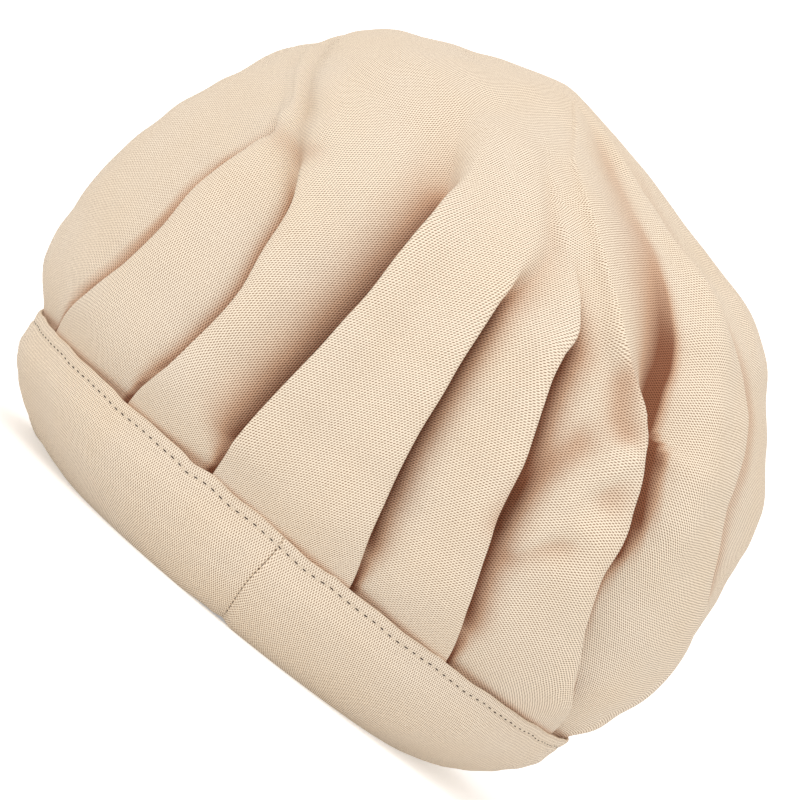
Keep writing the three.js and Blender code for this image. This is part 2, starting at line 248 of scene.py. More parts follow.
# The rim's rows from its outer fold to its inner one: millimetres in of the curl, and a share of the
# lower fold's lift with so many millimetres on top
RIM_ROWS = [
    (0, 0.8, 0.05),
    (RIM_FLAT / 2, 0.6, 0),
    (RIM_FLAT - 0.7, 0.6, 0),
    (RIM_FLAT - 0.2, 0.7, 0.35),
    (RIM_FLAT - 0.2, 1, 1.1),
]

# Where the band's top edge lies lower or higher: angle and reach in degrees, rise in millimetres
EDGE_WAVES = [
    (-21.5, 1.6, -0.45),
    (-17, 2.2, 0.5),
    (-8, 3, 0.35),
    (4, 2.5, -0.4),
    (9.5, 1.2, 0.4),
    (33, 1.4, 0.4),
    (-40, 2, -0.3),
]

# Stitches, in millimetres
STITCH_PITCH = 3.1
STITCH_GAP = 1.35
THREAD = 0.17
JOINT_PITCH = 1.55
JOINT_GAP = 1.1
LOOSE_ENDS = 7

# Weave: the pitch of the yarns in millimetres, and the cloth's colours with painted light and shade: lit on
# the yarn tops, shaded in the hollows between them
ROW_PITCH = 0.81
DOT_PITCH = 0.75
CLOTH_LIGHT = (0.97, 0.84, 0.67)
CLOTH_DARK = (0.33, 0.22, 0.145)
THREAD_COLOUR = (0.80, 0.68, 0.53)
# painted shadow in the needle holes, as dark rods
STITCH_HOLE_SHADOW = (0.045, 0.022, 0.012)
PAINTED_FOLD_HALF_SHADE = (0.74, 0.56, 0.47)  # painted shade: what the cloth's colour is multiplied by half-way into it
PAINTED_FOLD_SHADE = (0.3, 0.13, 0.08)  # and deep in the painted shade

# Camera: its distance and the picture's width in millimetres, its height and roll in degrees
CAMERA_DISTANCE = 4000.0
PICTURE_WIDTH = 224.0
CAMERA_HEIGHT = 3.0
CAMERA_ROLL = 39.2
AIM_LEFT = 1.5
AIM_RISE = 43.7  # above the seam
SENSOR = 36


def smooth(x):
    x = np.clip(x, 0.0, 1.0)
    return x * x * (3 - 2 * x)


def ramp(x, start, span):
    """0 up to the start, 1 from a span past it, and smooth between."""
    return smooth((x - start) / span)


def bump(x):
    return np.exp(-np.square(x))


def falloff(distance, reach):
    return 0.5 + 0.5 * np.cos(np.pi * np.clip(distance / reach, 0, 1))


def wrapped(degrees):
    return degrees - 360 * np.round(degrees / 360)


def along(places, values, at):
    """Values that pass smoothly through the knots, at each of the places asked for."""
    places = np.asarray(places, float)
    values = np.asarray(values, float)
    i = np.clip(np.searchsorted(places, at, side="right") - 1, 0, len(places) - 2)
    before = np.maximum(i - 1, 0)
    after = np.minimum(i + 2, len(places) - 1)
    width = places[i + 1] - places[i]
    start = (values[i + 1] - values[before]) / (places[i + 1] - places[before])
    end = (values[after] - values[i]) / (places[after] - places[i])
    s = np.clip((at - places[i]) / width, 0, 1)
    left = values[i] + start * width * s
    right = values[i + 1] - end * width * (1 - s)
    return left + (right - left) * smooth(s)


def waves(points, lengths, seed, count=10):
    """A smooth random field of about unit size: a few plane waves of each length, in millimetres."""
    rng = np.random.default_rng(seed)
    total = np.zeros(points.shape[:-1])
    for length in lengths:
        for _ in range(count):
            way = rng.normal(size=3)
            way *= 2 * math.pi / (length * np.linalg.norm(way) * rng.uniform(0.8, 1.3))
            total += np.sin(points @ way + rng.uniform(0, 2 * math.pi))
    return total / math.sqrt(count * len(lengths) / 2)


def mesh_object(name, points, faces, material, clothmap=None, hollow=None):
    """A smooth object from points in millimetres. clothmap is each point's place on the flat cloth, and
    hollow is how much painted shade its colour gets, from how deep in a fold it lies."""
    mesh = bpy.data.meshes.new(name)
    mesh.from_pydata((np.asarray(points) * MM).tolist(), [], faces)
    mesh.validate()
    mesh.polygons.foreach_set("use_smooth", [True] * len(mesh.polygons))
    if clothmap is not None:
        layer = mesh.uv_layers.new(name="Cloth")
        corners = np.empty(len(mesh.loops), int)
        mesh.loops.foreach_get("vertex_index", corners)
        layer.uv.foreach_set("vector", np.asarray(clothmap, np.float32)[corners].ravel())
    if hollow is not None:
        mesh.attributes.new(name="PaintedShade", type="FLOAT", domain="POINT").data.foreach_set("value", hollow)
    mesh.materials.append(material)
    piece = bpy.data.objects.new(name, mesh)
    bpy.context.scene.collection.objects.link(piece)
    return piece


# Materials


def node_tree(name):
    material = bpy.data.materials.new(name)
    material.use_nodes = True
    nodes = material.node_tree.nodes
    links = material.node_tree.links
    nodes.clear()
    output = nodes.new("ShaderNodeOutputMaterial")
    shader = nodes.new("ShaderNodeBsdfPrincipled")
    links.new(shader.outputs["BSDF"], output.inputs["Surface"])
    return material, nodes, links, shader


def math_node(nodes, links, operation, *values):
    """A maths node whose inputs are numbers or the outputs of other nodes."""
    node = nodes.new("ShaderNodeMath")
    node.operation = operation
    for socket, value in zip(node.inputs, values):
        if isinstance(value, (int, float)):
            socket.default_value = value
        else:
            links.new(value, socket)
    return node.outputs[0]


def set_inputs(node, values):
    for name, value in values.items():
        node.inputs[name].default_value = value


def noise_node(nodes, links, vector, scale, detail=2):
    node = nodes.new("ShaderNodeTexNoise")
    set_inputs(node, {"Scale": scale, "Detail": detail})
    links.new(vector, node.inputs["Vector"])
    return node


def colour_node(nodes, links, value, stops):
    """A colour ramp from a list of positions and colours, the first and the last stop first."""
    node = nodes.new("ShaderNodeValToRGB")
    elements = node.color_ramp.elements
    for i, (position, colour) in enumerate(stops):
        element = elements[i] if i < 2 else elements.new(position)
        element.position = position
        element.color = (*colour, 1)
    links.new(value, node.inputs["Fac"])
    return node.outputs["Color"]


def weave_height(nodes, links, cloth):
    """The weave's height: staggered dots where one yarn crosses over, a little uneven from yarn to yarn."""
    wobble = noise_node(nodes, links, cloth, 0.35)
    moved = nodes.new("ShaderNodeVectorMath")
    moved.operation = "MULTIPLY_ADD"
    links.new(wobble.outputs["Color"], moved.inputs[0])
    moved.inputs[1].default_value = (0.35, 0.35, 0)
    links.new(cloth, moved.inputs[2])
    split = nodes.new("ShaderNodeSeparateXYZ")
    links.new(moved.outputs["Vector"], split.inputs[0])
    across = math_node(nodes, links, "MULTIPLY", split.outputs["X"], 2 * math.pi / DOT_PITCH)
    up = math_node(nodes, links, "MULTIPLY", split.outputs["Y"], math.pi / ROW_PITCH)
    across = math_node(nodes, links, "COSINE", across)
    up = math_node(nodes, links, "COSINE", up)
    dots = math_node(nodes, links, "MULTIPLY", across, up)
    level = math_node(nodes, links, "MULTIPLY_ADD", dots, 0.5, 0.5)
    yarn = noise_node(nodes, links, cloth, 0.9, 3)
    uneven = math_node(nodes, links, "MULTIPLY_ADD", yarn.outputs["Fac"], 0.5, 0.75)
    return math_node(nodes, links, "MULTIPLY", level, uneven)


def weave_colour(nodes, links, cloth, height):
    """Yarns with painted light on their tops and painted shade in the hollows between them, and a slow drift
    of saturation over the cloth.
    """
    tone = colour_node(nodes, links, height, [(0.14, CLOTH_DARK), (0.6, CLOTH_LIGHT)])
    patches = noise_node(nodes, links, cloth, 0.03)
    drift = nodes.new("ShaderNodeHueSaturation")
    drift.inputs["Hue"].default_value = 0.5
    links.new(tone, drift.inputs["Color"])
    amount = math_node(nodes, links, "MULTIPLY_ADD", patches.outputs["Fac"], 0.3, 0.85)
    links.new(amount, drift.inputs["Saturation"])
    return drift.outputs["Color"]


def shaded(nodes, links, colour):
    """The cloth's colour with painted shade: warmer and darker where the mesh says that it lies in a fold.
    """
    depth = nodes.new("ShaderNodeAttribute")
    depth.attribute_name = "PaintedShade"
    stops = [(0, (1, 1, 1)), (1, PAINTED_FOLD_SHADE), (0.5, PAINTED_FOLD_HALF_SHADE)]
    painted_shade_tint = colour_node(nodes, links, depth.outputs["Fac"], stops)
    warm = nodes.new("ShaderNodeMix")
    warm.data_type = "RGBA"
    warm.blend_type = "MULTIPLY"
    warm.inputs["Factor"].default_value = 1
    links.new(colour, warm.inputs[6])
    links.new(painted_shade_tint, warm.inputs[7])
    return warm.outputs[2]


def woven_cloth(name, grain):
    """Plain weave, laid out by the cloth's own coordinates and turned by the grain's angle in degrees."""
    material, nodes, links, shader = node_tree(name)
    place = nodes.new("ShaderNodeUVMap")
    place.uv_map = "Cloth"
    turn = nodes.new("ShaderNodeMapping")
    turn.inputs["Rotation"].default_value[2] = math.radians(grain)
    links.new(place.outputs["UV"], turn.inputs["Vector"])
    height = weave_height(nodes, links, turn.outputs["Vector"])
    colour = weave_colour(nodes, links, place.outputs["UV"], height)
    links.new(shaded(nodes, links, colour), shader.inputs["Base Color"])
    relief = nodes.new("ShaderNodeBump")
    set_inputs(relief, {"Strength": 0.8, "Distance": 0.18 * MM})
    links.new(height, relief.inputs["Height"])
    links.new(relief.outputs["Normal"], shader.inputs["Normal"])
    rough = math_node(nodes, links, "MULTIPLY_ADD", height, -0.08, 0.92)
    links.new(rough, shader.inputs["Roughness"])
    set_inputs(shader, {"Specular IOR Level": 0.15, "Sheen Weight": 0.08})
    set_inputs(shader, {"Sheen Roughness": 0.5, "Sheen Tint": (1.0, 0.93, 0.84, 1)})
    return material


def plain_material(name, colour, roughness):
    """One colour with fine flecks, for thread and for the painted shadow in the stitch holes."""
    material, nodes, links, shader = node_tree(name)
    place = nodes.new("ShaderNodeTexCoord")
    fleck = noise_node(nodes, links, place.outputs["Object"], 2500)
    darker = [0.8 * c for c in colour]
    lighter = [min(1.0, 1.1 * c) for c in colour]
    tone = colour_node(nodes, links, fleck.outputs["Fac"], [(0, darker), (1, lighter)])
    links.new(tone, shader.inputs["Base Color"])
    shader.inputs["Roughness"].default_value = roughness
    return material


# Crown


def crown_forms(shares):
    """The round form under the pleats, at shares of the profile's table: its rings and its slope."""
    steps = np.linspace(0, 1, len(CROWN_PROFILE["height"]))

    def profile(column, at):
        return along(steps, CROWN_PROFILE[column], at)

    height = profile("height", shares)
    ahead = np.minimum(shares + SLOPE_STEP, 1)
    back = np.maximum(shares - SLOPE_STEP, 0)
    rise = (profile("height", ahead) - profile("height", back)) * CROWN_RISE
    run = (profile("width", ahead) - profile("width", back)) * CROWN_HALF[0]
    slope = np.hypot(rise, run)
    drawn_in = 1 - smooth(height / FOLD_HEIGHTS[1])
    foot = CROWN_PROFILE["width"][0] * CROWN_HALF - (SEAM - SEAM_INSET)
    half = profile("width", shares)[:, None] * CROWN_HALF - drawn_in[:, None] * foot
    return dict(
        height=height,
        half=half,
        shift=-PEAK_LEFT * height**PEAK_LEAN,
        outward=rise / slope,
        upward=-run / slope,
    )


def even_shares(count):
    """Shares of the profile's table at even distances along the profile, and its length."""
    fine = np.linspace(0, 1, 400)
    forms = crown_forms(fine)
    leg = np.hypot(np.diff(forms["half"][:, 0]), np.diff(forms["height"]) * CROWN_RISE)
    length = np.concatenate([[0], np.cumsum(leg)])
    return np.interp(np.linspace(0, length[-1], count), length, fine), length[-1]


def pleat_at(pleat, height, radius):
    """A pleat's state at each height: its angle and step, how far it is folded under, and its painted shade.
    """
    opening = smooth(height / SEAM_RISE)
    closing = 1 - ramp(height, CLOSE_FROM, CLOSE_SPAN)
    deep = np.maximum(along(FOLD_HEIGHTS, pleat["deep"], height), 0) * opening * closing
    depth = deep + SEAM_DEPTH * (1 - opening)
    wide = along(FOLD_HEIGHTS, pleat["soft"], height)
    soft = np.clip(wide, SOFT_LEAST, np.maximum(SOFT_LEAST, SOFT_MOST * radius))
    folded = 1 - ramp(soft, FOLD_WIDE, FOLD_WIDE)
    tuck = TUCK_SHARE * depth
    ridge_share = (1 - VALLEY_SHARE) * opening
    low = 1 - smooth(height / SEAM_SHARE)
    shade = np.minimum(1, pleat["shade"] * smooth(deep / SHADE_DEPTH))
    hold = np.interp(height, (0, 1), pleat["hold"]) + SEAM_HOLD * low
    return dict(
        lap=pleat["lap"],
        angle=along(FOLD_HEIGHTS, pleat["at"], height),
        depth=depth,
        folded=folded,
        tuck=tuck + (SEAM_TUCK - tuck) * (1 - smooth(height / TUCK_RISE)),
        soft=soft,
        ridge=depth * ridge_share,
        valley=depth * (ridge_share - 1),
        nose=np.minimum(NOSE, depth * NOSE_SHARE),
        crisp=pleat["crisp"],
        cut=(1 - ramp(wide, CUT_WIDE, CUT_WIDE_SPAN)) * ramp(depth, CUT_DEPTH, CUT_DEPTH_SPAN),
        dark=np.maximum(shade, SEAM_SHADE * low) * (folded + (1 - folded) * pleat["open_shade"]),
        hold=hold * depth * (OPEN_HOLD + (1 - OPEN_HOLD) * np.sqrt(folded)),
        reach=pleat["reach"] - (pleat["reach"] - SEAM_REACH) * low,
    )


def fold_section(state):
    """The columns of one fold, as distances across, lifts and painted shades: the nose of the upper layer,
    the cloth that goes back under it, the turn there and the start of the lower layer, or else an open
    slope."""
    ridge, valley, nose, tuck = (state[key][:, None] for key in ("ridge", "valley", "nose", "tuck"))
    nose_turn = np.radians([45, 0, -45, -90])
    under_turn = np.radians([135, 180, 225, 270])
    back = np.array([0.25, 0.5, 0.75, 1.0])
    over_x = -nose + nose * np.cos(nose_turn)
    over_n = ridge - nose + nose * np.sin(nose_turn)
    under_x = -tuck + nose * np.cos(under_turn)
    under_n = valley + nose + nose * np.sin(under_turn)
    from_n, to_n = ridge - 2 * nose, valley + 2 * nose
    back_x = -nose + (-tuck + nose) * back
    back_n = from_n + (to_n - from_n) * smooth(back)
    across = np.concatenate([over_x, back_x, under_x, -tuck / 2], axis=1)
    lift = np.concatenate([over_n, back_n, under_n, valley], axis=1)
    spread = (np.arange(FOLD_COLUMNS) + 1) / (FOLD_COLUMNS + 1)
    drop = state["crisp"] * spread * (2 - spread) + (1 - state["crisp"]) * smooth(spread**LATE_DROP)
    folded = state["folded"][:, None]
    across = folded * across + (1 - folded) * state["soft"][:, None] * spread
    lift = folded * lift + (1 - folded) * (ridge + (valley - ridge) * drop)
    deep_in = np.concatenate([[0, 0, 0.3, 0.6], np.ones(FOLD_COLUMNS - 4)])
    shade = (folded * deep_in + (1 - folded) * spread**2) * state["dark"][:, None]
    if state["lap"] < 0:
        return -across[:, ::-1], lift[:, ::-1], shade[:, ::-1]
    return across, lift, shade


def panel_edge(state, at_start):
    """How far a panel's first or last column lies from the pleat's angle, in millimetres."""
    on_top = (state["lap"] < 0) == at_start
    side = 1 if at_start else -1
    if on_top:
        return side * state["folded"] * state["nose"]
    return side * (1 - state["folded"]) * state["soft"]


def panel_lift(before, after, share, height):
    """How far a panel stands out: up where it lies on top, down where it goes under, and puffed between."""
    def one(state, distance, on_top):
        if on_top:
            return state["ridge"][:, None] * falloff(distance, RIDGE_REACH)
        folded = state["folded"][:, None]
        bent = (1 - np.clip(distance / VALLEY_REACH, 0, 1)) ** VALLEY_BEND
        return state["valley"][:, None] * (folded * bent + (1 - folded) * falloff(distance, VALLEY_REACH))

    swell = smooth(height / SEAM_RISE) * (1 - smooth(height))
    puff = PANEL_PUFF * np.sin(np.pi * share) * swell[:, None]
    return one(before, share, before["lap"] < 0) + one(after, 1 - share, after["lap"] > 0) + puff


def panel_shade(before, after, share, width):
    """How much painted shade each point of a panel gets, next to the folds that it goes under."""
    def one(state, distance, on_top):
        if on_top:
            return 0 * distance
        past = (distance - state["hold"][:, None]) / state["reach"][:, None]
        return state["dark"][:, None] * (1 - np.clip(past, 0, 1)) ** 2

    at_start = one(before, share * width, before["lap"] < 0)
    return at_start + one(after, (1 - share) * width, after["lap"] > 0)


def crease_lift(angle, height, creases):
    """What the dents and creases add: each falls off with the distance from its line."""
    across = np.radians(wrapped(angle)) * CROWN_HALF[0]
    upwards = np.broadcast_to(height[:, None] * CROWN_RISE, across.shape)
    total = np.zeros_like(across)
    for crease in creases:
        line_x = np.radians(crease["at"]) * CROWN_HALF[0]
        line_y = np.array(crease["up"]) * CROWN_RISE
        nearest = np.hypot(across - line_x[0], upwards - line_y[0])
        for i in range(len(line_x) - 1):
            step_x, step_y = line_x[i + 1] - line_x[i], line_y[i + 1] - line_y[i]
            part = (across - line_x[i]) * step_x + (upwards - line_y[i]) * step_y
            part = np.clip(part / (step_x**2 + step_y**2), 0, 1)
            away = np.hypot(across - line_x[i] - part * step_x, upwards - line_y[i] - part * step_y)
            nearest = np.minimum(nearest, away)
        total += crease["out"] * bump(nearest / crease["wide"])
    return total * smooth(height / SEAM_RISE)[:, None]


def crown_columns(forms):
    """The angle, lift and painted shade of every column in every row, and the state of each pleat."""
    height = forms["height"]
    radius = np.maximum(forms["half"].mean(1), 1)
    fit = np.degrees(np.minimum(1, radius / SMALL_RING) / radius)[:, None]
    states = [pleat_at(pleat, height, radius) for pleat in PLEATS]
    count = len(PLEATS)
    for i, state in enumerate(states):
        beside = states[(i + state["lap"]) % count]["angle"]
        room = (beside - state["angle"]) * state["lap"] % 360 / fit[:, 0]
        state["soft"] = np.minimum(state["soft"], SOFT_PANEL * room)
    angles, lifts, shades = [], [], []
    even = np.linspace(0, 1, PANEL_COLUMNS)
    share = (even - CROWDING * np.sin(2 * np.pi * even) / (2 * np.pi))[None, :]
    for i, state in enumerate(states):
        follower = states[(i + 1) % count]
        turn = 360 if i + 1 == count else 0
        across, lift, shade = fold_section(state)
        start = state["angle"][:, None] + panel_edge(state, True)[:, None] * fit
        end = follower["angle"][:, None] + turn + panel_edge(follower, False)[:, None] * fit
        angles += [state["angle"][:, None] + across * fit, start + (end - start) * share]
        lifts += [lift, panel_lift(state, follower, share, height)]
        shades += [shade, panel_shade(state, follower, share, (end - start) / fit)]
    columns = [np.concatenate(each, axis=1) for each in (angles, lifts, shades)]
    return *columns, states


def crown_points(forms, angle, lift):
    lift = lift + crease_lift(angle, forms["height"], CREASES.values())
    out = lift * forms["outward"][:, None]
    way = np.radians(angle)
    x = forms["shift"][:, None] + (forms["half"][:, :1] + out) * np.sin(way)
    y = -(forms["half"][:, 1:] + out) * np.cos(way)
    z = BAND_HEIGHT + forms["height"][:, None] * CROWN_RISE + lift * forms["upward"][:, None]
    return np.stack([x + MIDDLE[0], y + MIDDLE[1], z], axis=-1)


def hem_points(seam, drops):
    """Rows below the seam, which follow the band inwards."""
    flat = seam[:, :2] - MIDDLE
    degrees = np.degrees(np.arctan2(flat[:, 0], -flat[:, 1]))
    rows = []
    for drop in drops:
        inset = band_inset(np.full(len(flat), drop / BAND_HEIGHT), degrees)
        shrink = 1 - inset / np.linalg.norm(flat, axis=1)
        rows.append(np.column_stack([flat * shrink[:, None] + MIDDLE, seam[:, 2] - drop]))
    return np.array(rows)


def with_hem(values):
    """Values for each row of the crown, with the lowest one repeated for the hem."""
    return np.concatenate([np.repeat(values[:1], HEM_ROWS, axis=0), values])


def rippled(points, height):
    """The points with soft random waves, which begin above the seam."""
    centre = np.array([*MIDDLE, BAND_HEIGHT + 0.3 * CROWN_RISE])
    outward = points - centre
    outward /= np.linalg.norm(outward, axis=-1, keepdims=True)
    ripple = 0.3 * waves(points, (75, 45), SEED) + 0.08 * waves(points, (18, 11), SEED + 1)
    return points + outward * (ripple * smooth(height / SEAM_RISE)[:, None])[..., None]


def panel_middles(forms, angle, radius):
    """Each panel's middle line on the flat round of cloth, in degrees at each row. It moves sideways there
    as far as it does on the crown, whose rings are narrower."""
    narrower = with_hem(forms["half"].mean(1)) / radius
    middles = []
    for i in range(len(PLEATS)):
        seen = with_hem(angle[:, i * BLOCK + FOLD_COLUMNS + PANEL_COLUMNS // 2])
        turn = np.diff(seen) * narrower[1:]
        back = np.concatenate([np.cumsum(turn[::-1])[::-1], [0]])
        middles.append(seen[-1] - back)
    return middles


def flat_round(points, forms, angle, states, length):
    """Each point's place on the flat round of cloth, in millimetres, so that the weave keeps its pitch. Each
    panel is laid out from its middle line at its true width. The layout is cut between two panels where a
    fold hides it, and elsewhere they are stretched to meet. Then it is eased, and its top laid level."""
    rows, columns = points.shape[:2]
    count = len(PLEATS)
    half_panel = PANEL_COLUMNS // 2
    half_fold = FOLD_COLUMNS // 2
    below = np.linspace(HEM, HEM / HEM_ROWS, HEM_ROWS)
    above = np.linspace(length, length / CROWN_ROWS, rows - HEM_ROWS)
    radius = np.concatenate([length + below, above])
    ring = np.linalg.norm(np.diff(points, axis=1, append=points[:, :1]), axis=2)
    twice_round = np.cumsum(np.concatenate([ring, ring], axis=1), axis=1)
    travel = np.concatenate([np.zeros((rows, 1)), twice_round], axis=1)
    middles = panel_middles(forms, angle, radius)
    place = np.zeros((rows, columns))
    joined = np.ones((rows, columns))
    for i in range(count):
        after = (i + 1) % count
        left = i * BLOCK + FOLD_COLUMNS + half_panel
        seam = (i + 1) * BLOCK + half_fold
        right = left + BLOCK
        start = middles[i]
        end = middles[after] + (360 if after == 0 else 0)
        closed = with_hem(states[after]["cut"])
        reach_left = travel[:, seam] - travel[:, left]
        reach_right = travel[:, right] - travel[:, seam]
        edge_left = start + np.degrees(reach_left / radius)
        edge_right = end - np.degrees(reach_right / radius)
        meeting = (edge_left + edge_right) / 2
        edge_left = closed * edge_left + (1 - closed) * meeting
        edge_right = closed * edge_right + (1 - closed) * meeting
        for column in range(left, seam + 1):
            part = (travel[:, column] - travel[:, left]) / reach_left
            place[:, column % columns] = start + (edge_left - start) * part
        for column in range(seam + 1, right):
            part = (travel[:, right] - travel[:, column]) / reach_right
            place[:, column % columns] = end + (edge_right - end) * part
        joined[:, seam % columns] = 1 - closed
    way = np.radians(place)
    flat = np.stack([radius[:, None] * np.sin(way), -radius[:, None] * np.cos(way)], axis=-1)
    return level_top(points, eased(points, flat, joined), with_hem(forms["height"]))


def triangle_shape(points, corners):
    """Each triangle of the surface laid flat round its own middle, its three corners as complex numbers."""
    first, second, third = (points[corner] for corner in corners)
    along_edge = np.linalg.norm(second - first, axis=-1)
    way = (second - first) / np.maximum(along_edge, 1e-9)[..., None]
    over = ((third - first) * way).sum(-1)
    aside = np.linalg.norm(third - first - over[..., None] * way, axis=-1)
    shape = np.stack([np.zeros_like(over) + 0j, along_edge + 0j, over + 1j * aside])
    return shape - shape.mean(0)


def eased(points, flat, joined):
    """The flat layout after each triangle has pulled its corners towards its true shape, over and over, so
    that the weave keeps its right angles. joined is 0 where the layout is cut to the next column."""
    rows, columns = joined.shape
    at = np.arange(rows * columns).reshape(rows, columns)
    right = np.roll(at, -1, axis=1)
    triangles = [(at[:-1], right[:-1], right[1:]), (at[:-1], right[1:], at[1:])]
    places = points.reshape(-1, 3)
    shapes = [triangle_shape(places, corners) for corners in triangles]
    hold = np.minimum(joined[:-1], joined[1:])
    share = np.zeros(rows * columns)
    for corners in triangles:
        for corner in corners:
            share[corner] += hold
    spot = flat[..., 0].ravel() + 1j * flat[..., 1].ravel()
    for step in range(EASING_STEPS):
        pull = np.zeros_like(spot)
        for corners, shape in zip(triangles, shapes):
            now = np.stack([spot[corner] for corner in corners])
            middle = now.mean(0)
            turn = (np.conj(shape) * (now - middle)).sum(0)
            turn = turn / np.maximum(np.abs(turn), 1e-12)
            for corner, part, old in zip(corners, shape, now):
                pull[corner] += hold * (middle + turn * part - old)
        strength = EASING_PULL if step < EASING_STEPS - LAST_STEPS else LAST_PULL
        spot = spot + strength * pull / np.maximum(share, 1e-6)
    return np.stack([spot.real, spot.imag], axis=-1).reshape(flat.shape)


def level_top(points, flat, height):
    """The flat layout, with the cloth round the peak laid out as it is seen from above."""
    above = points[..., 0] + 1j * points[..., 1]
    spot = flat[..., 0] + 1j * flat[..., 1]
    ring = np.abs(height - TOP_FROM) < TOP_SPAN
    centre, spot_centre = above[ring].mean(), spot[ring].mean()
    turn = (np.conj(above[ring] - centre) * (spot[ring] - spot_centre)).sum()
    level = (above - centre) * turn / np.abs(turn) + spot_centre
    share = ramp(height, TOP_FROM, TOP_SPAN)[:, None]
    spot = (1 - share) * spot + share * level
    return np.stack([spot.real, spot.imag], axis=-1)


def painted_shade_depth(shade, angle, height):
    """How much painted shade each point gets, from 0 to 1: under a fold, in a narrow dent, or along the
    seam.
    """
    narrow = [crease for crease in CREASES.values() if crease["wide"] < NARROW]
    dents = np.clip(-crease_lift(angle, height, narrow) / DARK_DENT, 0, 1)
    at_seam = SEAM_LINE * np.exp(-height * CROWN_RISE * SEAM_LINE_FADE)[:, None]
    return np.clip(SHADE_GAIN * shade + dents + at_seam, 0, 1)


def grid_faces(rows, columns):
    """Quads between rows of points that run all the way round."""
    at = np.arange(rows * columns).reshape(rows, columns)
    right = np.roll(at, -1, axis=1)
    quads = np.stack([at[:-1], right[:-1], right[1:], at[1:]], axis=-1)
    return quads.reshape(-1, 4).tolist()


def make_crown(material):
    """The round of cloth from its hem inside the band to the peak, where a fan of triangles closes it."""
    shares, length = even_shares(CROWN_ROWS + 1)
    forms = crown_forms(shares[:-1])
    angle, lift, shade, states = crown_columns(forms)
    points = crown_points(forms, angle, lift)
    hem = hem_points(points[0], np.linspace(HEM, HEM / HEM_ROWS, HEM_ROWS))
    points = rippled(np.concatenate([hem, points]), with_hem(forms["height"]))
    clothmap = flat_round(points, forms, angle, states, length)
    # painted shade for the cloth's colour: beside the folds, in narrow dents and along the seam
    depth = with_hem(painted_shade_depth(shade, angle, forms["height"]))
    rows, columns = points.shape[:2]
    faces = grid_faces(rows, columns)
    tip = rows * columns
    last = (rows - 1) * columns
    faces += [[last + c, last + (c + 1) % columns, tip] for c in range(columns)]
    peak = points[-1].mean(0) + np.array([0, 0, 0.1])
    all_points = np.concatenate([points.reshape(-1, 3), [peak]])
    all_map = np.concatenate([clothmap.reshape(-1, 2), [clothmap[-1].mean(0)]])
    hollow = np.concatenate([depth.ravel(), [0]])
    crown = mesh_object("crown_cloth", all_points, faces, material, all_map, hollow)
    thicken(crown)
    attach(crown, "root")
    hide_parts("crown")


def thicken(piece):
    wall = piece.modifiers.new("Cloth thickness", "SOLIDIFY")
    wall.thickness = CLOTH * MM
    wall.offset = 0


# Band


def rim_curl(degrees):
    """How far in the rim turns at each angle, in millimetres."""
    side = np.sin(np.radians(degrees)) ** 2
    buckle = bump(wrapped(degrees - BUCKLE_ANGLE) / BUCKLE_SPAN)
    return FRONT_CURL + (SIDE_CURL - FRONT_CURL) * side - BUCKLE_OUT * buckle


def band_inset(down, degrees):
    """How far inside its top edge the band lies at shares of its height."""
    at_right = bump(wrapped(degrees - RIGHT_ANGLE) / RIGHT_SPAN)
    drawn_in = RIGHT_DRAW * at_right * np.sin(np.pi * np.clip(down, 0, 1))
    return along(BAND_SECTION["down"], BAND_SECTION["inward"], down) * rim_curl(degrees) + drawn_in


def edge_rise(degrees):
    """What the band's top edge has above its even height: waves, and a step at the joint."""
    rise = 0.12 * np.sin(np.radians(degrees) * 23 + 1) + 0.1 * np.sin(np.radians(degrees) * 41)
    for angle, reach, higher in EDGE_WAVES:
        rise = rise + higher * bump(wrapped(degrees - angle) / reach)
    past = wrapped(degrees - JOINT_ANGLE)
    return rise + 0.35 * bump((past + 3) / 4) - 0.45 * bump((past - 3) / 4)


def joint_line(down):
    """The joint's angle in degrees at each share of the band's height: slightly wavy."""
    return JOINT_ANGLE + 0.22 * np.sin(down * 7.5 + 0.3) - 0.1


def band_out(down, degrees):
    """What stands out of the band's even outer surface, in millimetres: the raised strip, the groove and the
    small puckers at its stitches, the joint and the fold left of it, and soft waves."""
    past_strip = down - STRIP_SHARE
    past = wrapped(degrees - joint_line(down))
    way = np.radians(degrees)
    pucker = 0.5 + 0.5 * np.cos(way * PUCKERS)
    raised = STRIP_RAISED * (1 - ramp(past_strip, -0.012, 0.03))
    groove = -(0.28 + 0.12 * pucker) * bump(past_strip / 0.022)
    below = 0.16 * pucker * bump((past_strip - 0.05) / 0.04)
    swell = 0.5 * smooth(past_strip / 0.25) * (1 - ramp(down, 0.6, 0.4))
    joint = -0.5 * bump(past / 0.28) + 0.28 * smooth(past / 0.35) * (1 - ramp(past, 0.5, 5))
    joint = joint * (1 - 0.6 * bump(past_strip / 0.05))
    fold_left = 0.5 * bump((past + 9 - 3 * down) / 2.2) - 0.45 * bump((past + 5.2 - 4 * down) / 1.9)
    fold_left = fold_left * ramp(down, 0.1, 0.3)
    ripples = 0.22 * np.sin(way * 9 + 2 * down) + 0.14 * np.sin(way * 17 - 3 * down)
    return raised + groove + below + swell + joint + fold_left + ripples * smooth(past_strip / 0.4)


def bottom_rise(degrees):
    """How far the band's lower fold lifts off the surface, next to the joint and here and there."""
    past = wrapped(degrees - JOINT_ANGLE)
    notch = 1.3 * bump(past / 1.4) + 0.9 * bump((past + 4) / 4)
    return notch + 0.1 + 0.1 * np.sin(np.radians(degrees) * 5 + 1)


def ring_points(inset, z, degrees):
    """Points round the cap, inset millimetres inside the band's top edge, at height z."""
    way = np.radians(degrees)
    x = (SEAM[0] - inset) * np.sin(way) + MIDDLE[0]
    y = -(SEAM[1] - inset) * np.cos(way) + MIDDLE[1]
    return np.stack([x, y, z], axis=-1)


def band_surface(down, degrees, extra=0.0):
    """Points of the band's outer surface at shares of its height and angles, extra further out."""
    inset = band_inset(down, degrees) - band_out(down, degrees) - extra
    top = BAND_HEIGHT + edge_rise(degrees) - EDGE_ROLL
    low = bottom_rise(degrees)
    return ring_points(inset, top + (low - top) * down, degrees)


